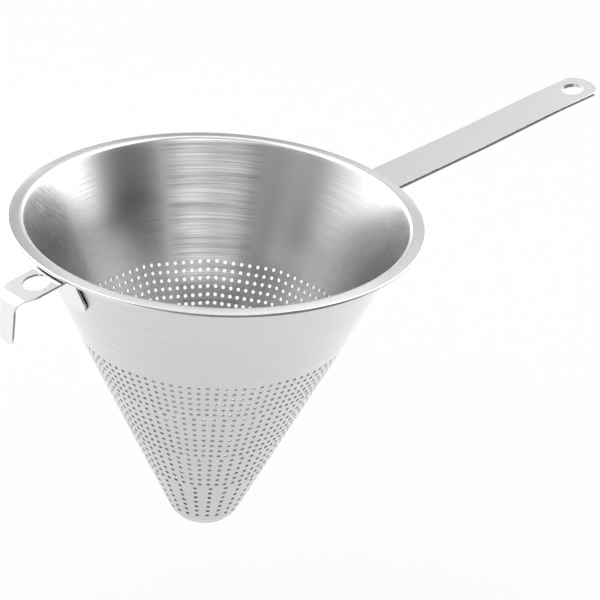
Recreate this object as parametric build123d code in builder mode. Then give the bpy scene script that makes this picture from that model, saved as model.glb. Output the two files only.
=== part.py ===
from build123d import *
import os
from math import asin, cos, degrees, radians, sin, sqrt, tan

os.makedirs("parts", exist_ok=True)

# Lengths are millimetres and angles are degrees. The origin is the middle of the mouth, in the
# plane of the rim's highest line. Z is the axis of the cone and the handle reaches over +X.

# Cone with its rim, spun from one sheet
mouth_diameter = 186.6
flange_width = 6.7
tip_diameter = 32.0
cone_half_angle = 25.42
sheet_thickness = 0.7
mouth_bend_radius = 2.5
tip_bend_radius = 2.2
lip_width = 5.0
rim_slope = 4.5
hem_width = 4.0
hem_thickness = 1.8
hem_roundness_share = 0.48

# Drain openings, a plain grid of round holes that stands for the fine perforation
hole_diameter = 3.8
hole_columns = 24
hole_rows = 10
first_row_depth = 65.0
last_row_height = 12.4
punch_depth = 5.0

# Cap that closes the tip, a small pressed dish
cap_diameter = 28.6
cap_height = 2.4
cap_thickness = 0.8
cap_corner_radius = 1.2

# Handle, a flat bar bent to lie on the wall below the rim
strap_width = 23.8
strap_end_width = 22.6
strap_thickness = 2.0
strap_overhang = 134.1
strap_foot_length = 36.4
strap_rise_angles = (11.0, 12.3, 10.5)
strap_knee_overhangs = (57.5, 105.0)
strap_knee_radius = 400.0
strap_bend_radius = 6.0
strap_edge_radius = 0.6
strap_end_arc_radius = 16.5
strap_end_corner_radius = 5.0
strap_foot_corner_radius = 6.0
strap_long_edge_share = 1.01
hang_hole_diameter = 11.8
hang_hole_inset = 11.5

# Support hook, a thin strip bent to rest on the edge of a pot
hook_angle = 185.8
hook_width = 20.0
hook_thickness = 1.1
hook_overhang = 22.6
hook_tab_length = 27.8
hook_drop_angle = 11.3
hook_tongue_fall_angle = 88.0
hook_tongue_depth = 30.5
hook_tongue_width = 10.5
hook_tongue_end_width = 8.6
hook_tongue_corner_radius = 3.8
hook_shoulder_length = 7.8
hook_shoulder_radius = 6.0
hook_neck_length = 4.4
hook_neck_radius = 4.0
hook_tab_roundness_share = 0.48
hook_bend_radius = 4.5
hook_root_bend_radius = 3.0
hook_hole_diameter = 13.2
hook_hole_overhang = 6.6

# Spot welds
weld_gap = 0.2
rim_clearance = 0.3
weld_diameter = 4.0
dimple_diameter = 3.6
dimple_depth = 0.2
strap_weld_spacing = 18.6
strap_weld_pitch = 10.4
strap_weld_columns = 2
strap_weld_rows = 3
strap_weld_inset = 5.0
hook_weld_pitch = 9.0
hook_weld_rows = 2
hook_weld_inset = 6.4
weld_stub_depth = 1.6

wall_angle = radians(cone_half_angle)
mouth_radius = mouth_diameter / 2
rim_radius = mouth_radius + flange_width
mouth_slant = mouth_radius / sin(wall_angle)
apex_depth = mouth_radius / tan(wall_angle)
wall_normal = (cos(wall_angle), -sin(wall_angle))


def wall_point(slant, outward):
    """Radius and height on the wall, slant being the distance from the cone's apex."""
    radius = slant * sin(wall_angle) + outward * cos(wall_angle)
    height = slant * cos(wall_angle) - outward * sin(wall_angle) - apex_depth
    return radius, height


def side_plane(angle):
    """Upright plane through the axis, its first direction pointing outwards at an angle."""
    turn = radians(angle)
    return Plane(
        origin=(0, 0, 0),
        x_dir=(cos(turn), sin(turn), 0),
        z_dir=(sin(turn), -cos(turn), 0),
    )


def strip_plane(angle, radius, height, normal):
    """Plane on a strip's face. Its first direction crosses the strip, and its normal is
    given by its outward and upward parts."""
    turn = radians(angle)
    outward, upward = normal
    return Plane(
        origin=(radius * cos(turn), radius * sin(turn), height),
        x_dir=(-sin(turn), cos(turn), 0),
        z_dir=(cos(turn) * outward, sin(turn) * outward, upward),
    )


def wall_plane(angle, slant, outward):
    """Plane that lies on the wall at an angle about the axis, facing out of the cone."""
    radius, height = wall_point(slant, outward)
    return strip_plane(angle, radius, height, wall_normal)


# The sheet's inner and upper surface, from the lip at the tip to the end of the rim's hem
slope = radians(rim_slope)
tip_radius = tip_diameter / 2
lip_height = tip_radius / tan(wall_angle) - apex_depth
rim_edge = Vector(rim_radius, -(rim_radius - mouth_radius) * tan(slope))
hem_edge = rim_edge + Vector(-sin(slope), -cos(slope)) * hem_thickness
hem_end = hem_edge + Vector(-cos(slope), sin(slope)) * hem_width
hem_radius = hem_roundness_share * hem_thickness

# Welds sit in rows that start an inset above the lower end of the strip they hold
strap_weld_slant = (
    mouth_slant
    - strap_foot_length
    + strap_weld_inset
    + strap_weld_pitch * (strap_weld_rows - 1) / 2
)
hook_weld_slant = (
    mouth_slant - hook_tab_length + hook_weld_inset + hook_weld_pitch * (hook_weld_rows - 1) / 2
)

# Rows run from below the mouth to above the tip, and columns start half a column off the X axis
first_row_slant = mouth_slant - first_row_depth
last_row_slant = tip_diameter / 2 / sin(wall_angle) + last_row_height
hole_row_pitch = (first_row_slant - last_row_slant) / (hole_rows - 1)
hole_planes = [
    wall_plane(0, first_row_slant - row * hole_row_pitch, sheet_thickness / 2)
    for row in range(hole_rows)
]
half_column_angle = 360 / hole_columns / 2

with BuildPart() as strainer_cone:
    with BuildSketch(Plane.XZ):
        with BuildLine():
            FilletPolyline(
                (tip_radius - lip_width, lip_height),
                (tip_radius, lip_height),
                (mouth_radius, 0),
                (rim_edge.X, rim_edge.Y),
                (hem_edge.X, hem_edge.Y),
                (hem_end.X, hem_end.Y),
                radius=(tip_bend_radius, mouth_bend_radius, hem_radius, hem_radius),
            )
            offset(amount=sheet_thickness, side=Side.RIGHT)
        make_face()
    revolve(axis=Axis.Z)
    for hole_plane in hole_planes:
        with PolarLocations(0, hole_columns, start_angle=half_column_angle):
            with Locations(hole_plane):
                Cylinder(hole_diameter / 2, punch_depth, mode=Mode.SUBTRACT)
    # Dimples that the handle's spot welds leave in the inner face
    dimple_radius = (dimple_diameter**2 / 4 + dimple_depth**2) / (2 * dimple_depth)
    for row in range(strap_weld_rows):
        dimple_slant = strap_weld_slant + (row - (strap_weld_rows - 1) / 2) * strap_weld_pitch
        weld_angle = degrees(asin(strap_weld_spacing / 2 / wall_point(dimple_slant, 0)[0]))
        for side_angle in (-weld_angle, weld_angle):
            with Locations(wall_plane(side_angle, dimple_slant, dimple_depth - dimple_radius)):
                Sphere(dimple_radius, mode=Mode.SUBTRACT)
strainer_cone.part.label = "strainer_cone"
export_step(strainer_cone.part, "parts/strainer_cone.step")

# The cap's dish stands on its turned-up edge against the underside of the lip
cap_seat = lip_height - sheet_thickness
cap_radius = cap_diameter / 2
with BuildPart() as tip_cap:
    with BuildSketch(Plane.XZ):
        with BuildLine():
            FilletPolyline(
                (cap_radius, cap_seat),
                (cap_radius, cap_seat - cap_height),
                (0, cap_seat - cap_height),
                radius=cap_corner_radius,
            )
            offset(amount=cap_thickness, side=Side.RIGHT)
        make_face()
    revolve(axis=Axis.Z)
tip_cap.part.label = "tip_cap"
export_step(tip_cap.part, "parts/tip_cap.step")

# Both strips lie flat on a wall line that is a gap away from the sheet's outer face
strip_face = sheet_thickness + weld_gap


def wall_meets(point, rise):
    """Where a strip's wall line meets the line through a point that climbs at a rise."""
    start_radius, start_height = wall_point(0, strip_face)
    climb = tan(radians(rise))
    steepness = 1 / tan(wall_angle)
    level = point.Y - point.X * climb
    radius = (level - start_height + start_radius * steepness) / (steepness - climb)
    return radius, level + radius * climb


# The strap's upper face runs up the wall, turns out below the hem and rises to its end
strap_root = wall_meets(hem_edge - Vector(0, rim_clearance), strap_rise_angles[0])
strap_line = [wall_point(mouth_slant - strap_foot_length, strip_face), strap_root]
for overhang, rise in zip((*strap_knee_overhangs, strap_overhang), strap_rise_angles):
    reach = rim_radius + overhang
    last_reach, last_height = strap_line[-1]
    strap_line.append((reach, last_height + (reach - last_reach) * tan(radians(rise))))
strap_reach, strap_end_height = strap_line[-1]
strap_end_sagitta = strap_end_arc_radius - sqrt(
    strap_end_arc_radius**2 - strap_end_width**2 / 4
)
strap_side_reach = strap_reach - strap_end_sagitta

with BuildPart() as handle_strap:
    with BuildSketch(Plane.XZ):
        with BuildLine():
            FilletPolyline(
                *strap_line,
                radius=(strap_bend_radius, strap_knee_radius, strap_knee_radius),
            )
            offset(amount=strap_thickness, side=Side.RIGHT)
        make_face()
    extrude(amount=strap_width, both=True)
    with BuildSketch(Plane.XY.offset(strap_end_height)) as outline:
        with BuildLine():
            corner = (strap_side_reach, strap_end_width / 2)
            end_corner = (strap_side_reach, -strap_end_width / 2)
            Polyline(
                end_corner,
                (rim_radius, -strap_width / 2),
                (0, -strap_width / 2),
                (0, strap_width / 2),
                (rim_radius, strap_width / 2),
                corner,
            )
            ThreePointArc(corner, (strap_reach, 0), end_corner)
        make_face()
        end_corners = outline.vertices().group_by(Axis.X)[-1]
        fillet(end_corners, radius=strap_end_corner_radius)
    extrude(amount=strap_reach, both=True, mode=Mode.INTERSECT)
    foot_end = handle_strap.faces().sort_by(Axis.Z)[0]
    fillet(foot_end.edges().filter_by(Axis.Y, reverse=True), radius=strap_foot_corner_radius)
    # Every edge but the short ones that cross the strap's thickness
    shortest = strap_thickness * strap_long_edge_share
    long_edges = handle_strap.edges().filter_by(lambda edge: edge.length > shortest)
    fillet(long_edges, radius=strap_edge_radius)
    end_rise = radians(strap_rise_angles[-1])
    hang_reach = strap_reach - hang_hole_inset
    hang_height = strap_end_height - hang_hole_inset * tan(end_rise)
    with Locations(strip_plane(0, hang_reach, hang_height, (-sin(end_rise), cos(end_rise)))):
        Cylinder(hang_hole_diameter / 2, hang_hole_diameter, mode=Mode.SUBTRACT)
handle_strap.part.label = "handle_strap"
export_step(handle_strap.part, "parts/handle_strap.step")

# The hook's strip runs up the wall, out below the hem and down over a pot's edge
hook_root = wall_meets(hem_end - Vector(0, rim_clearance), -hook_drop_angle)
hook_reach = rim_radius + hook_overhang
arm_fall = radians(hook_drop_angle)
tongue_fall = radians(hook_tongue_fall_angle)
hook_bend_height = hook_root[1] - (hook_reach - hook_root[0]) * tan(arm_fall)
hook_end_reach = hook_reach + (hook_tongue_depth + hook_bend_height) / tan(tongue_fall)

hook_side = side_plane(hook_angle)
hook_outwards = Axis((0, 0, 0), hook_side.x_dir)
bend_share = cos((tongue_fall - arm_fall) / 2)
bend_middle = (tongue_fall + arm_fall) / 2
across_bend = (sin(bend_middle), cos(bend_middle))

with BuildPart() as support_hook:
    with BuildSketch(hook_side):
        with BuildLine():
            FilletPolyline(
                wall_point(mouth_slant - hook_tab_length, strip_face),
                hook_root,
                (hook_reach, hook_bend_height),
                (hook_end_reach, -hook_tongue_depth),
                radius=(hook_root_bend_radius, hook_bend_radius),
            )
            offset(amount=hook_thickness, side=Side.RIGHT)
        make_face()
    extrude(amount=hook_width / 2, both=True)
    tab_end = support_hook.faces().sort_by(hook_outwards)[0]
    tab_corners = tab_end.edges().sort_by(SortBy.LENGTH)[:2]
    fillet(tab_corners, radius=hook_width * hook_tab_roundness_share)
    # The arm narrows round the bend into the tongue, seen square to the bend's middle
    with BuildSketch(strip_plane(hook_angle, hook_reach, hook_bend_height, across_bend)) as waist:
        with BuildLine():
            half_widths = (
                (-hook_reach, hook_width / 2),
                (-hook_shoulder_length, hook_width / 2),
                (hook_neck_length, hook_tongue_width / 2),
                (hook_tongue_depth, hook_tongue_end_width / 2),
            )
            left = [(-half, -along * bend_share) for along, half in half_widths]
            right = [(-x, y) for x, y in reversed(left)]
            Polyline(*left, *right, close=True)
        make_face()
        fillet(waist.vertices().group_by(Axis.Y)[1], radius=hook_neck_radius)
        fillet(waist.vertices().group_by(Axis.Y)[-2], radius=hook_shoulder_radius)
    extrude(amount=hook_reach, both=True, mode=Mode.INTERSECT)
    tongue_end = support_hook.faces().sort_by(Axis.Z)[0]
    fillet(tongue_end.edges().sort_by(SortBy.LENGTH)[:2], radius=hook_tongue_corner_radius)
    hook_hole_reach = rim_radius + hook_hole_overhang
    hook_hole_height = hook_bend_height + (hook_reach - hook_hole_reach) * tan(arm_fall)
    arm_normal = (sin(arm_fall), cos(arm_fall))
    with Locations(strip_plane(hook_angle, hook_hole_reach, hook_hole_height, arm_normal)):
        Cylinder(hook_hole_diameter / 2, hook_hole_diameter / 2, mode=Mode.SUBTRACT)
support_hook.part.label = "support_hook"
export_step(support_hook.part, "parts/support_hook.step")

# Everything inside the wall's outer face, cut from the weld nuggets so that they end on the wall
core_tip = wall_point(0, sheet_thickness)
core_top = wall_point(mouth_slant, sheet_thickness)
with BuildPart() as wall_core:
    with BuildSketch(Plane.XZ):
        with BuildLine():
            Polyline((0, core_tip[1]), core_tip, core_top, (0, core_top[1]), close=True)
        make_face()
    revolve(axis=Axis.Z)

nugget_align = (Align.CENTER, Align.CENTER, Align.MAX)
with BuildPart() as handle_spot_welds:
    with Locations(wall_plane(0, strap_weld_slant, strip_face)):
        with GridLocations(
            strap_weld_spacing, strap_weld_pitch, strap_weld_columns, strap_weld_rows
        ):
            Cylinder(weld_diameter / 2, weld_stub_depth, align=nugget_align)
    add(wall_core.part, mode=Mode.SUBTRACT)
handle_spot_welds.part.label = "handle_spot_welds"
export_step(handle_spot_welds.part, "parts/handle_spot_welds.step")

with BuildPart() as hook_spot_welds:
    with Locations(wall_plane(hook_angle, hook_weld_slant, strip_face)):
        with GridLocations(hook_width, hook_weld_pitch, 1, hook_weld_rows):
            Cylinder(weld_diameter / 2, weld_stub_depth, align=nugget_align)
    add(wall_core.part, mode=Mode.SUBTRACT)
hook_spot_welds.part.label = "hook_spot_welds"
export_step(hook_spot_welds.part, "parts/hook_spot_welds.step")
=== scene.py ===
"""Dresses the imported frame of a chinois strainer: a perforated cone with a strap handle and a hook."""

import logging
from dataclasses import dataclass
from enum import Enum
from math import atan2, cos, degrees, hypot, pi, radians, sin, tan

import bmesh
import bpy
from mathutils import Matrix, Vector


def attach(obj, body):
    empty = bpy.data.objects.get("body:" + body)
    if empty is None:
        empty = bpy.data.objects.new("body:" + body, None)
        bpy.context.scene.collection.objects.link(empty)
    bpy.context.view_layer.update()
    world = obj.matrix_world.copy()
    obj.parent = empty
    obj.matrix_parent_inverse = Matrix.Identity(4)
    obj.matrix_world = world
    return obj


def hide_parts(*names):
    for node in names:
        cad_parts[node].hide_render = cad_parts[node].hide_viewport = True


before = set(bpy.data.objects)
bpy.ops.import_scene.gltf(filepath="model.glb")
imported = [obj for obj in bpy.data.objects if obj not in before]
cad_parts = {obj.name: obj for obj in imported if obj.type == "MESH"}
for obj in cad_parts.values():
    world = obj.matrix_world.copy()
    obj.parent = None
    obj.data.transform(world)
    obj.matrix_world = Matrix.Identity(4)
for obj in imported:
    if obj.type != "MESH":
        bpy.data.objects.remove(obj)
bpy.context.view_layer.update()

MM = 0.001
PAINTED_HOLE_SHADE = "painted_hole_shade"
INNER_FACE = "inner_face"
IMAGE_WIDTH = 600
UP = Vector((0, 0, 1))

log = logging.getLogger("chinois")


def linear(hex_colour: str) -> tuple[float, float, float, float]:
    """Turns an sRGB hex colour to linear light.

    Args:
        hex_colour: six hex digits after a hash sign.

    Returns:
        Red, green, blue and an alpha of one.
    """
    parts = [int(hex_colour[i : i + 2], 16) / 255 for i in (1, 3, 5)]
    red, green, blue = (
        c / 12.92 if c <= 0.04045 else ((c + 0.055) / 1.055) ** 2.4 for c in parts
    )
    return red, green, blue, 1.0


def add_node(tree: bpy.types.NodeTree, kind: str, links: dict | None = None, **settings) -> bpy.types.Node:
    """Adds one node to a tree, with its settings, socket values and links.

    Args:
        tree: the node tree that gets the node.
        kind: the node's type name without the "ShaderNode" in front.
        links: socket name or number to the output socket or the value that goes into it.
        **settings: properties of the node itself.

    Returns:
        The new node.
    """
    node = tree.nodes.new("ShaderNode" + kind)
    for name, value in settings.items():
        setattr(node, name, value)
    for name, source in (links or {}).items():
        if isinstance(source, bpy.types.NodeSocket):
            tree.links.new(source, node.inputs[name])
        else:
            node.inputs[name].default_value = source
    return node


class Brushing(Enum):
    """The way the abrasive ran over a piece's surface."""

    ROUND_THE_AXIS = "round"
    ALONG_THE_STRIP = "along"


@dataclass(frozen=True)
class WornStretch:
    """A stretch of the cone's wall, by its bearing about the axis in degrees, with its own marks."""

    bearing: float
    half_width: float
    fade: float
    depth: float

    def mask(self, tree: bpy.types.NodeTree, bearing: bpy.types.NodeSocket) -> bpy.types.NodeSocket:
        """Adds nodes that are one inside the stretch and fade out at its sides.

        Args:
            tree: the material's node tree.
            bearing: the point's bearing about the axis, in degrees.

        Returns:
            The mask.
        """
        apart = add_node(
            tree, "Math", {0: bearing, 1: self.bearing - 180.0}, operation="SUBTRACT"
        )
        turn = add_node(tree, "Math", {0: apart.outputs[0], 1: 360.0}, operation="FLOORED_MODULO")
        off = add_node(tree, "Math", {0: turn.outputs[0], 1: 180.0}, operation="SUBTRACT")
        size = add_node(tree, "Math", {0: off.outputs[0]}, operation="ABSOLUTE")
        return add_node(
            tree, "MapRange",
            {
                "Value": size.outputs[0], "From Min": self.half_width + self.fade,
                "From Max": self.half_width,
            },
            interpolation_type="SMOOTHSTEP",
        ).outputs["Result"]


@dataclass(frozen=True)
class BrushedSteel:
    """Stainless steel sheet, satin from an abrasive belt: soft glossy bands and fine lines.

    The real lines are too fine to show, so they are drawn as coarse as they need to be for it.
    """

    name: str
    colour: str = "#C0C0BF"
    roughness: float = 0.21
    anisotropy: float = 1.0
    brushing: Brushing = Brushing.ROUND_THE_AXIS
    line_mm: float = 0.5
    line_run_mm: float = 45.0
    line_depth: float = 0.06
    # How far the painted shade darkens the walls of the drain holes.
    hole_shade_depth: float = 0.8
    coarse: WornStretch | None = None
    crossed: tuple[WornStretch, ...] = ()
    cross_line_mm: float = 1.0
    cross_run_mm: float = 14.0
    cross_angle: float = radians(38)
    wall_radius_mm: float = 80.0
    noise_detail: float = 3.0
    mark_low: float = 0.35
    mark_high: float = 0.68
    line_low: float = 0.3
    line_high: float = 0.7
    rough_spread: float = 0.12
    group_lines: float = 5.0
    group_runs: float = 2.0

    def noise(
        self, tree: bpy.types.NodeTree, place: bpy.types.NodeSocket, scale: tuple[float, float, float],
        turn: float = 0.0,
    ) -> bpy.types.NodeSocket:
        """Adds one stretched noise with a mean of a half.

        Args:
            tree: the material's node tree.
            place: the coordinates that it reads.
            scale: cells for each metre along X, Y and Z.
            turn: angle by which the pattern is turned about Z first.

        Returns:
            The noise.
        """
        turned = add_node(tree, "Mapping", {"Vector": place, "Rotation": (0.0, 0.0, turn)})
        stretched = add_node(tree, "Mapping", {"Vector": turned.outputs["Vector"], "Scale": scale})
        return add_node(
            tree, "TexNoise",
            {"Vector": stretched.outputs["Vector"], "Scale": 1.0, "Detail": self.noise_detail},
        ).outputs["Fac"]

    def shade(
        self, tree: bpy.types.NodeTree, tone: bpy.types.NodeSocket | float, noise: bpy.types.NodeSocket,
        depth: bpy.types.NodeSocket | float,
    ) -> bpy.types.NodeSocket:
        """Adds nodes that darken a tone where a noise is high.

        Args:
            tree: the material's node tree.
            tone: the tone so far.
            noise: the marks.
            depth: how far the deepest mark goes.

        Returns:
            The new tone.
        """
        marks = add_node(
            tree, "MapRange",
            {"Value": noise, "From Min": self.mark_low, "From Max": self.mark_high},
        )
        amount = add_node(
            tree, "Math", {0: marks.outputs["Result"], 1: depth}, operation="MULTIPLY"
        )
        rest = add_node(tree, "Math", {0: 1.0, 1: amount.outputs[0]}, operation="SUBTRACT")
        return add_node(tree, "Math", {0: tone, 1: rest.outputs[0]}, operation="MULTIPLY").outputs[0]

    def material(self) -> bpy.types.Material:
        """Builds the node material.

        Returns:
            A material whose lines follow the brushing.
        """
        made = bpy.data.materials.new(self.name)
        made.use_nodes = True
        tree = made.node_tree
        tree.nodes.clear()
        place = add_node(tree, "TexCoord").outputs["Object"]
        fine, long = 1 / (self.line_mm * MM), 1 / (self.line_run_mm * MM)
        scale = {
            Brushing.ROUND_THE_AXIS: (long, long, fine),
            Brushing.ALONG_THE_STRIP: (long, fine, fine),
        }[self.brushing]
        lines = self.noise(tree, place, scale)
        tone = self.shade(tree, 1.0, lines, self.line_depth)
        # Painted shade: the walls of the drain holes are darkened, standing in for the shade inside the
        # holes.
        edge = add_node(tree, "Attribute", attribute_name=PAINTED_HOLE_SHADE).outputs["Fac"]
        tone = self.shade(tree, tone, edge, self.hole_shade_depth)
        parts = add_node(tree, "SeparateXYZ", {0: place})
        around = add_node(
            tree, "Math", {0: parts.outputs["Y"], 1: parts.outputs["X"]}, operation="ARCTAN2"
        )
        bearing = add_node(tree, "Math", {0: around.outputs[0]}, operation="DEGREES").outputs[0]
        inside = add_node(tree, "Attribute", attribute_name=INNER_FACE).outputs["Fac"]
        if self.coarse:
            mask = add_node(
                tree, "Math", {0: self.coarse.mask(tree, bearing), 1: inside}, operation="MULTIPLY"
            ).outputs[0]
            depth = add_node(tree, "Math", {0: mask, 1: self.coarse.depth}, operation="MULTIPLY")
            around_group = long / self.group_runs
            across_group = fine / self.group_lines
            groups = self.noise(tree, place, (around_group, around_group, across_group))
            tone = self.shade(tree, tone, lines, depth.outputs[0])
            tone = self.shade(tree, tone, groups, depth.outputs[0])
        arc = add_node(
            tree, "Math", {0: around.outputs[0], 1: self.wall_radius_mm * MM}, operation="MULTIPLY"
        )
        unrolled = add_node(tree, "CombineXYZ", {0: arc.outputs[0], 1: parts.outputs["Z"]})
        across = 1 / (self.cross_line_mm * MM), 1 / (self.cross_run_mm * MM)
        for stretch in self.crossed:
            mask = add_node(
                tree, "Math", {0: stretch.mask(tree, bearing), 1: inside}, operation="MULTIPLY"
            ).outputs[0]
            depth = add_node(tree, "Math", {0: mask, 1: stretch.depth}, operation="MULTIPLY")
            for turn in (self.cross_angle, pi - self.cross_angle):
                marks = self.noise(
                    tree, unrolled.outputs[0], (across[0], across[1], 1.0), turn
                )
                tone = self.shade(tree, tone, marks, depth.outputs[0])
        colour = add_node(
            tree, "VectorMath", {0: linear(self.colour)[:3], "Scale": tone}, operation="SCALE"
        )
        rough = add_node(
            tree, "MapRange",
            {
                "Value": lines, "From Min": self.line_low, "From Max": self.line_high,
                "To Min": self.roughness * (1 - self.rough_spread),
                "To Max": self.roughness * (1 + self.rough_spread),
            },
        )
        links = {
            "Base Color": colour.outputs["Vector"],
            "Metallic": 1.0,
            "Roughness": rough.outputs["Result"],
        }
        if self.brushing is Brushing.ROUND_THE_AXIS:
            tangent = add_node(tree, "Tangent", direction_type="RADIAL", axis="Z")
            links |= {"Anisotropic": self.anisotropy, "Tangent": tangent.outputs["Tangent"]}
        shader = add_node(tree, "BsdfPrincipled", links)
        add_node(tree, "OutputMaterial", {"Surface": shader.outputs["BSDF"]})
        return made


def new_piece(name: str, bm: bmesh.types.BMesh, finish: bpy.types.Material) -> bpy.types.Object:
    """Makes an object of a finished bmesh and frees the bmesh.

    Args:
        name: the piece's name.
        bm: the mesh, in metres and in place.
        finish: the material that it wears.

    Returns:
        The object, linked to the scene.
    """
    mesh = bpy.data.meshes.new(name)
    bm.to_mesh(mesh)
    bm.free()
    mesh.materials.append(finish)
    piece = bpy.data.objects.new(name, mesh)
    bpy.context.scene.collection.objects.link(piece)
    log.info("%s: %d vertices, %d faces", name, len(mesh.vertices), len(mesh.polygons))
    return piece


def arc_corners(points: list[tuple[float, float]], radii: list[float], steps: int) -> list[Vector]:
    """Rounds the corners of an open line.

    Args:
        points: the line's corners, its ends among them.
        radii: one radius for each corner between the ends.
        steps: how many straight runs each corner's arc gets.

    Returns:
        The points of the rounded line.
    """
    corners = [Vector(p) for p in points]
    line = [corners[0]]
    for before, corner, after, radius in zip(corners, corners[1:], corners[2:], radii):
        back, on = (before - corner).normalized(), (after - corner).normalized()
        half = back.angle(on) / 2
        centre = corner + (back + on).normalized() * (radius / sin(half))
        start = corner + back * (radius / tan(half)) - centre
        end = corner + on * (radius / tan(half)) - centre
        turn = start.angle_signed(end)
        line += [centre + Matrix.Rotation(-turn * i / steps, 2) @ start for i in range(steps + 1)]
    return line + [corners[-1]]


@dataclass
class HoleZone:
    """Rows of drain holes that share their pitch. Angles are degrees and lengths millimetres."""

    columns: int
    rows: int
    pitch: float
    shift: float = 0.0


@dataclass
class StrainerCone:
    """The perforated cone with its flange rim and its rolled hem. Lengths are millimetres."""

    steel: bpy.types.Material
    rim_radius: float = 100.0
    mouth_radius: float = 93.3
    tip_radius: float = 16.0
    half_angle: float = radians(25.42)
    thickness: float = 0.7
    mouth_bend: float = 2.5
    tip_bend: float = 2.2
    lip_width: float = 5.0
    rim_slope: float = radians(4.5)
    hem_width: float = 4.0
    hem_thickness: float = 1.8
    hole_radius: float = 0.95
    hole_sides: int = 14
    first_row: float = 153.0
    sectors: int = 12
    groups: int = 2
    first_angle: float = -3.8
    hole_inset: float = 1.9
    grid_angle: float = 1.25
    hem_bend_share: float = 0.28
    band_width: float = 1.0
    top_margin: float = 1.5
    tip_margin: float = 0.7
    plain_rings: int = 24
    rim_bend_steps: int = 8
    tip_bend_steps: int = 6
    flat_merge: float = 1e-4
    round_merge: float = 1e-3
    shortest_edge: float = 0.1
    grid_step_share: float = 0.99
    crease: float = radians(35)
    cut_share: float = 0.5
    face_share: float = 0.95
    zones: tuple[HoleZone, ...] = (
        HoleZone(4, 6, 4.27),
        HoleZone(3, 8, 4.35),
        HoleZone(2, 6, 4.25),
        HoleZone(1, 7, 4.06, 2.6),
    )

    @property
    def apex_depth(self) -> float:
        """Depth of the cone's apex below the mouth."""
        return self.mouth_radius / tan(self.half_angle)

    @property
    def sector_angle(self) -> float:
        """Width of one flat-punched sector, in degrees."""
        return 360 / self.sectors

    def wall_point(self, slant: float, angle: float) -> Vector:
        """Point on the inner face of the wall.

        Args:
            slant: distance from the cone's apex.
            angle: degrees round the axis.

        Returns:
            The point, in millimetres.
        """
        radius = slant * sin(self.half_angle)
        turn = radians(angle)
        height = slant * cos(self.half_angle) - self.apex_depth
        return Vector((radius * cos(turn), radius * sin(turn), height))

    def straight_row(self, row: float, angle: float) -> float:
        """Slant of a row that is straight on the flat sheet, at an angle in its sector."""
        return row / cos(radians(angle - self.sector_angle / 2) * sin(self.half_angle))

    def punch(self, bm: bmesh.types.BMesh, low: Vector, high: Vector, hole: Vector) -> None:
        """Adds one flat cell with its hole to the unrolled sector.

        Args:
            bm: the sector, x in degrees and y in millimetres of slant.
            low: the cell's lower left corner.
            high: its upper right corner.
            hole: the hole's centre.
        """
        size = high - low
        steps = round(size.x / self.grid_angle)
        middle = Matrix.Translation(((low + high) / 2).to_3d())
        grid = bmesh.ops.create_grid(
            bm, x_segments=steps, y_segments=1, size=0.5,
            matrix=middle @ Matrix.Diagonal((size.x, size.y, 1, 1)),
        )
        # Faces and edges keep their order, so that each run fills the cell with the same triangles.
        faces = list(dict.fromkeys(f for v in grid["verts"] for f in v.link_faces))
        cell = bmesh.ops.dissolve_faces(bm, faces=faces)["region"]
        edges = list(cell[0].edges)
        bmesh.ops.delete(bm, geom=cell, context="FACES_ONLY")
        degree = radians(1) * hole.y * sin(self.half_angle)
        disc = bmesh.ops.create_circle(
            bm, segments=self.hole_sides, radius=self.hole_radius,
            matrix=Matrix.Translation(hole.to_3d()) @ Matrix.Diagonal((1 / degree, 1, 1, 1)),
        )
        ring = list(dict.fromkeys(e for v in disc["verts"] for e in v.link_edges))
        bmesh.ops.triangle_fill(bm, use_beauty=True, edges=edges + ring)

    def perforated_sector(self) -> tuple[bmesh.types.BMesh, float, float]:
        """Builds one sector of the perforated wall.

        Returns:
            The sector in place on the cone, and the rows where it starts and ends.
        """
        bm = bmesh.new()
        row = self.first_row
        top = row + self.zones[0].pitch / 2
        high = top
        centres = []
        for zone in self.zones:
            for _ in range(zone.rows):
                if centres:
                    row -= zone.pitch
                centres.append((row, zone))
        for (row, zone), (below, _) in zip(centres, centres[1:] + [(row - zone.pitch, zone)]):
            low = (row + below) / 2
            width = self.sector_angle / self.groups / zone.columns
            for column in range(self.groups * zone.columns):
                left = column * width
                self.punch(
                    bm, Vector((left, low)), Vector((left + width, high)),
                    Vector((left + self.hole_inset + zone.shift, row)),
                )
            high = low
        bmesh.ops.remove_doubles(bm, verts=bm.verts, dist=self.flat_merge)
        for vert in bm.verts:
            angle, row = vert.co.x, vert.co.y
            vert.co = self.wall_point(self.straight_row(row, angle), self.first_angle + angle)
        return bm, top, low

    def side_line(self, top: float) -> list[Vector]:
        """Radius and height along the plain upper wall, the rim and the hem.

        Args:
            top: slant where the plain wall starts.

        Returns:
            The line's points.
        """
        start = self.wall_point(top, 0)
        rim = Vector((self.rim_radius, -(self.rim_radius - self.mouth_radius) * tan(self.rim_slope)))
        drop = Vector((-sin(self.rim_slope), -cos(self.rim_slope))) * self.hem_thickness
        inward = Vector((-cos(self.rim_slope), sin(self.rim_slope))) * self.hem_width
        corners = [
            (start.x, start.z), (self.mouth_radius, 0), rim, rim + drop, rim + drop + inward,
        ]
        hem_bend = self.hem_thickness * self.hem_bend_share
        return arc_corners(corners, [self.mouth_bend, hem_bend, hem_bend], self.rim_bend_steps)

    def revolve(self, bm: bmesh.types.BMesh, line: list[Vector]) -> None:
        """Spins a line round the axis, in step with the perforation.

        Args:
            bm: the mesh that gets the surface.
            line: points of radius and height.
        """
        start = Matrix.Rotation(radians(self.first_angle), 3, "Z")
        verts = [bm.verts.new(start @ Vector((p.x, 0, p.y))) for p in line]
        edges = [bm.edges.new(pair) for pair in zip(verts, verts[1:])]
        bmesh.ops.spin(
            bm, geom=verts + edges, cent=(0, 0, 0), axis=UP, dvec=(0, 0, 0),
            angle=2 * pi, steps=round(360 / self.grid_angle), use_merge=True, use_duplicate=False,
        )

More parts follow.
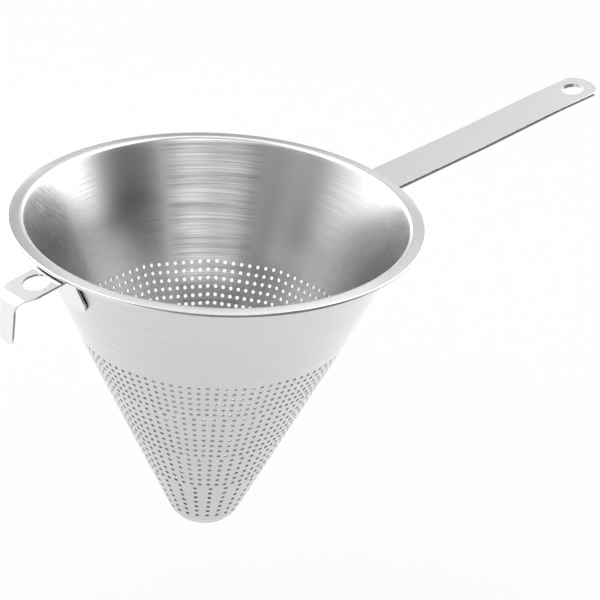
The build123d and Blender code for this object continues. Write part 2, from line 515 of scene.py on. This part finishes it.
    def build(self) -> bpy.types.Object:
        """Builds the cone.

        Returns:
            The piece that stands for the CAD cone.
        """
        bm, top, bottom = self.perforated_sector()
        bmesh.ops.spin(
            bm, geom=bm.verts[:] + bm.edges[:] + bm.faces[:], cent=(0, 0, 0), axis=UP,
            dvec=(0, 0, 0), angle=radians(360 - self.sector_angle), steps=self.sectors - 1,
            use_merge=False, use_duplicate=True,
        )
        bmesh.ops.remove_doubles(bm, verts=bm.verts, dist=self.round_merge)
        plain = bmesh.new()
        widest = self.straight_row(top, 0)
        first_ring, last_ring = widest + self.band_width, bottom - self.band_width
        line = self.side_line(first_ring)
        wall = [line[0].lerp(line[1], i / self.plain_rings) for i in range(self.plain_rings)]
        self.revolve(plain, wall + line[1:])
        lip = self.tip_radius / tan(self.half_angle) - self.apex_depth
        start = self.wall_point(last_ring, 0)
        tip = arc_corners(
            [(start.x, start.z), (self.tip_radius, lip), (self.tip_radius - self.lip_width, lip)],
            [self.tip_bend], self.tip_bend_steps,
        )
        self.revolve(plain, tip)
        extra = bpy.data.meshes.new("plain_wall")
        plain.to_mesh(extra)
        plain.free()
        bm.from_mesh(extra)
        bpy.data.meshes.remove(extra)
        self.join_band(bm, widest, first_ring, self.top_margin)
        self.join_band(bm, bottom, last_ring, self.tip_margin)
        bmesh.ops.recalc_face_normals(bm, faces=bm.faces)
        bmesh.ops.solidify(bm, geom=bm.faces[:], thickness=-self.thickness)
        bmesh.ops.recalc_face_normals(bm, faces=bm.faces)
        for face in bm.faces:
            face.smooth = True
        for edge in bm.edges:
            if len(edge.link_faces) == 2 and edge.calc_face_angle() > self.crease:
                edge.smooth = False
        bmesh.ops.scale(bm, vec=(MM, MM, MM), verts=bm.verts)
        piece = new_piece("strainer_wall", bm, self.steel)
        self.even_shading(piece.data)
        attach(piece, "root")
        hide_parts("strainer_cone")
        return piece

    def even_shading(self, mesh: bpy.types.Mesh) -> None:
        """Gives the wall's cells the true cone's normals, and marks its inner face and the hole walls that
        get a painted shade.

        Args:
            mesh: the finished wall, in metres.
        """
        normals = [corner.vector.copy() for corner in mesh.corner_normals]
        cut = [0.0] * len(mesh.polygons)
        inner = [0.0] * len(mesh.polygons)
        slope = Vector((cos(self.half_angle), sin(self.half_angle)))
        top = -self.mouth_bend * MM
        bottom = self.wall_point(self.tip_radius / sin(self.half_angle), 0).z * MM
        for face in mesh.polygons:
            for loop in face.loop_indices:
                place = mesh.vertices[mesh.loops[loop].vertex_index].co
                side = place.xy.normalized() * slope.x
                outwards = Vector((side.x, side.y, -slope.y))
                share = face.normal.dot(outwards)
                if bottom + self.tip_bend * MM < place.z < top:
                    # The hole walls marked here get the painted shade in the material.
                    cut[face.index] = float(abs(share) < self.cut_share)
                    inner[face.index] = float(share < -self.cut_share)
                    if abs(share) > self.face_share:
                        normals[loop] = outwards * (1 if share > 0 else -1)
        mesh.normals_split_custom_set(normals)
        for name, values in ((PAINTED_HOLE_SHADE, cut), (INNER_FACE, inner)):
            mesh.attributes.new(name, "FLOAT", "FACE").data.foreach_set("value", values)

    def join_band(self, bm: bmesh.types.BMesh, row: float, ring: float, margin: float) -> None:
        """Bridges the perforated wall's open edge to the plain wall's first ring.

        Args:
            bm: the wall.
            row: largest slant on the perforated wall's edge.
            ring: slant of the plain wall's ring.
            margin: how far past both the edges are looked for, short of the next holes.
        """
        low, high = sorted((row, ring))
        span = Vector((self.wall_point(low - margin, 0).z, self.wall_point(high + margin, 0).z))
        edges = [
            e for e in bm.edges
            if e.is_boundary and all(span.x < v.co.z < span.y for v in e.verts)
            and all(hypot(v.co.x, v.co.y) < self.mouth_radius for v in e.verts)
            and e.calc_length() > self.shortest_edge
        ]
        rings = [e for e in edges if self.is_band_edge(e)]
        bmesh.ops.bridge_loops(bm, edges=rings)

    def is_band_edge(self, edge: bmesh.types.BMEdge) -> bool:
        """Tells a band's open edge from a hole's edge: its ends are a grid step apart.

        Args:
            edge: an open edge of the wall.

        Returns:
            True for a band's edge.
        """
        turns = [atan2(v.co.y, v.co.x) for v in edge.verts]
        apart = abs(degrees(turns[0] - turns[1])) % 360
        return min(apart, 360 - apart) > self.grid_angle * self.grid_step_share


class Shade(Enum):
    """The greys of the studio's walls, cards and curtains."""

    WHITE = "#FFFFFF"
    PALE = "#D0D0D0"
    LIGHT = "#C0C0C0"
    SILVER = "#999999"
    GREY = "#848484"
    STONE = "#707070"
    DIM = "#555555"
    DARK = "#181818"
    BLACK = "#020202"


@dataclass(frozen=True)
class Wall:
    """One upright stretch of the studio's walls, from one bearing in degrees to another."""

    start: int
    end: int
    shade: Shade


@dataclass
class Studio:
    """Camera, lights, floor and the walls that the steel reflects. Lengths are metres."""

    camera_place: tuple[float, float, float] = (-0.6147, -0.8778, 0.5147)
    heading: float = radians(37.253)
    pitch: float = radians(-27.489)
    roll: float = radians(3.77)
    focal_pixels: float = 2477.0
    sensor_mm: float = 36.0
    floor_height: float = -0.28
    paper_grey: str = "#C4C4C4"
    # Painted shadow in the floor's glow for the steel: dimmer near the strainer, brighter outwards.
    near_gleam: float = 1.13
    near_reach: float = 0.285
    far_gleam: float = 1.72
    far_reach: float = 0.47
    # Painted shadow of the strainer in the floor's glow for the steel, dark on this side.
    shadow_bearing: float = radians(262)
    shadow_start: float = 0.20
    shadow_end: float = 0.32
    shadow_gleam: float = 0.2
    wall_low_strength: float = 3.2
    wall_high_strength: float = 9.0
    wall_low: float = radians(15)
    wall_high: float = radians(55)
    wall_top: float = radians(56)
    ceiling_start: float = radians(70)
    ceiling_grey: str = "#202020"
    floor_radius: float = 4.0
    floor_sides: int = 96
    paper_glow: float = 0.4
    plain_strength: float = 1.0
    softbox_place: tuple[float, float, float] = (-0.2, 0.3, 2.2)
    softbox_side: float = 1.6
    softbox_watts: float = 6.0
    walls: tuple[Wall, ...] = (
        Wall(0, 16, Shade.WHITE),
        Wall(26, 52, Shade.GREY),
        Wall(66, 75, Shade.STONE),
        Wall(88, 125, Shade.WHITE),
        Wall(140, 140, Shade.PALE),
        Wall(154, 154, Shade.LIGHT),
        Wall(166, 166, Shade.DIM),
        Wall(176, 176, Shade.DARK),
        Wall(186, 186, Shade.SILVER),
        Wall(196, 213, Shade.BLACK),
        Wall(222, 222, Shade.LIGHT),
        Wall(238, 238, Shade.DIM),
        Wall(255, 255, Shade.PALE),
        Wall(266, 266, Shade.GREY),
        Wall(273, 273, Shade.BLACK),
        Wall(282, 295, Shade.DARK),
        Wall(317, 317, Shade.BLACK),
        Wall(325, 360, Shade.WHITE),
    )

    def camera(self) -> None:
        """Sets the camera at the photograph's viewing angle."""
        data = bpy.data.cameras.new("camera")
        data.sensor_width = self.sensor_mm
        data.lens = self.focal_pixels / IMAGE_WIDTH * self.sensor_mm
        camera = bpy.data.objects.new("camera", data)
        turn = (
            Matrix.Rotation(-self.heading, 4, "Z")
            @ Matrix.Rotation(pi / 2 + self.pitch, 4, "X")
            @ Matrix.Rotation(self.roll, 4, "Z")
        )
        camera.matrix_world = Matrix.Translation(self.camera_place) @ turn
        bpy.context.scene.collection.objects.link(camera)
        bpy.context.scene.camera = camera

    def surroundings(self) -> None:
        """Makes the world: plain white to the camera and as light, studio walls to the steel."""
        world = bpy.data.worlds.new("studio")
        bpy.context.scene.world = world
        world.use_nodes = True
        tree = world.node_tree
        tree.nodes.clear()
        way = add_node(tree, "TexCoord").outputs["Generated"]
        parts = add_node(tree, "SeparateXYZ", {0: way})
        bearing = add_node(
            tree, "Math", {0: parts.outputs["Y"], 1: parts.outputs["X"]}, operation="ARCTAN2"
        )
        turn = add_node(
            tree, "Math", {0: bearing.outputs[0], 1: 2 * pi}, operation="FLOORED_MODULO"
        )
        share = add_node(tree, "Math", {0: turn.outputs[0], 1: 2 * pi}, operation="DIVIDE")
        ramp = add_node(tree, "ValToRGB", {"Fac": share.outputs[0]})
        stops = ramp.color_ramp.elements
        for wall in self.walls:
            for side in sorted({wall.start, wall.end} - {0, 360}):
                stops.new(side / 360).color = linear(wall.shade.value)
        stops[0].color = stops[-1].color = linear(self.walls[0].shade.value)
        on_ceiling = add_node(
            tree, "MapRange",
            {
                "Value": parts.outputs["Z"], "From Min": sin(self.wall_top),
                "From Max": sin(self.ceiling_start),
            },
            interpolation_type="SMOOTHSTEP",
        )
        room = add_node(
            tree, "Mix",
            {0: on_ceiling.outputs["Result"], 6: ramp.outputs["Color"], 7: linear(self.ceiling_grey)},
            data_type="RGBA",
        )
        rays = add_node(tree, "LightPath")
        rising = add_node(
            tree, "MapRange",
            {
                "Value": parts.outputs["Z"], "From Min": sin(self.wall_low),
                "From Max": sin(self.wall_high), "To Min": self.wall_low_strength,
                "To Max": self.wall_high_strength,
            },
        )
        soft = add_node(
            tree, "Background", {"Color": room.outputs[2], "Strength": rising.outputs["Result"]}
        )
        white = add_node(
            tree, "Background",
            {"Color": linear(Shade.WHITE.value), "Strength": self.plain_strength},
        )
        room_light = add_node(
            tree, "MixShader",
            {0: rays.outputs["Is Glossy Ray"], 1: white.outputs[0], 2: soft.outputs[0]},
        )
        mixed = add_node(
            tree, "MixShader",
            {0: rays.outputs["Is Camera Ray"], 1: room_light.outputs[0], 2: white.outputs[0]},
        )
        add_node(tree, "OutputWorld", {"Surface": mixed.outputs[0]})

    def floor(self) -> None:
        """Lays a paper floor below the tip.

        The camera sees matt white with a soft shadow. The steel sees a glow with a painted shadow: dimmer
        near the strainer and dark on one side.
        """
        bm = bmesh.new()
        bmesh.ops.create_circle(
            bm, cap_ends=True, segments=self.floor_sides, radius=self.floor_radius,
            matrix=Matrix.Translation((0, 0, self.floor_height)),
        )
        finish = bpy.data.materials.new("white_paper_sweep")
        finish.use_nodes = True
        tree = finish.node_tree
        tree.nodes.clear()
        rays = add_node(tree, "LightPath")
        paper = add_node(tree, "BsdfDiffuse", {"Color": linear(self.paper_grey)})
        white = linear(Shade.WHITE.value)
        glow = add_node(tree, "Emission", {"Color": white, "Strength": self.paper_glow})
        lifted = add_node(tree, "AddShader", {0: paper.outputs[0], 1: glow.outputs[0]})
        # Painted shadow: the glow that the steel reflects is dimmer near the strainer and dark on one
        # side.
        spot = add_node(tree, "NewGeometry").outputs["Position"]
        outwards = (cos(self.shadow_bearing), sin(self.shadow_bearing), 0.0)
        reach = add_node(tree, "VectorMath", {0: spot, 1: outwards}, operation="DOT_PRODUCT")
        level = add_node(
            tree, "MapRange",
            {
                "Value": reach.outputs["Value"], "From Min": self.shadow_start,
                "From Max": self.shadow_end, "To Min": 1.0, "To Max": self.shadow_gleam,
            },
            interpolation_type="SMOOTHSTEP",
        )
        distance = add_node(tree, "VectorMath", {0: spot}, operation="LENGTH")
        shadow_falloff = add_node(
            tree, "MapRange",
            {
                "Value": distance.outputs["Value"], "From Min": self.near_reach,
                "From Max": self.far_reach, "To Min": self.near_gleam, "To Max": self.far_gleam,
            },
        )
        lit = add_node(
            tree, "Math", {0: level.outputs["Result"], 1: shadow_falloff.outputs["Result"]},
            operation="MULTIPLY",
        )
        gleam = add_node(tree, "Emission", {"Color": white, "Strength": lit.outputs[0]})
        mixed = add_node(
            tree, "MixShader",
            {0: rays.outputs["Is Glossy Ray"], 1: lifted.outputs[0], 2: gleam.outputs[0]},
        )
        add_node(tree, "OutputMaterial", {"Surface": mixed.outputs[0]})
        floor = new_piece("floor", bm, finish)

    def softbox(self) -> None:
        """Hangs one square area light that faces the strainer."""
        data = bpy.data.lights.new("top_softbox", "AREA")
        data.size = self.softbox_side
        data.energy = self.softbox_watts
        light = bpy.data.objects.new("top_softbox", data)
        light.location = self.softbox_place
        light.rotation_euler = Vector(self.softbox_place).to_track_quat("Z", "Y").to_euler()
        bpy.context.scene.collection.objects.link(light)

    def build(self) -> None:
        """Builds the whole studio."""
        scene = bpy.context.scene
        scene.view_settings.view_transform = "Standard"
        self.camera()
        self.surroundings()
        self.floor()
        self.softbox()


def dress(node: str, finish: bpy.types.Material) -> None:
    """Gives a carried-over CAD node its finish.

    Args:
        node: the node's name.
        finish: the material for all its faces.
    """
    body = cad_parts[node]
    body.data.materials.clear()
    body.data.materials.append(finish)
    log.info("%s keeps its CAD shape and wears %s", node, finish.name)


def main() -> None:
    """Builds the pieces in order and reports each."""
    logging.basicConfig(level=logging.INFO, format="%(name)s: %(message)s")
    # Brushed round the axis, it spreads the light into upright bands, with worn stretches inside.
    sheet = BrushedSteel(
        "spun_brushed_stainless",
        coarse=WornStretch(bearing=57, half_width=13, fade=6, depth=0.3),
        crossed=(
            WornStretch(bearing=137, half_width=14, fade=8, depth=0.22),
            WornStretch(bearing=-42, half_width=14, fade=12, depth=0.22),
        ),
    ).material()
    # Brushed lengthwise, the strips show an even grey with faint long lines.
    strip = BrushedSteel(
        "strip_brushed_stainless", brushing=Brushing.ALONG_THE_STRIP, line_depth=0.05,
        roughness=0.20,
    ).material()
    StrainerCone(sheet).build()
    dress("tip_cap", sheet)
    for node in ("handle_strap", "support_hook", "handle_spot_welds", "hook_spot_welds"):
        dress(node, strip)
    Studio().build()


if __name__ == "__main__":
    main()
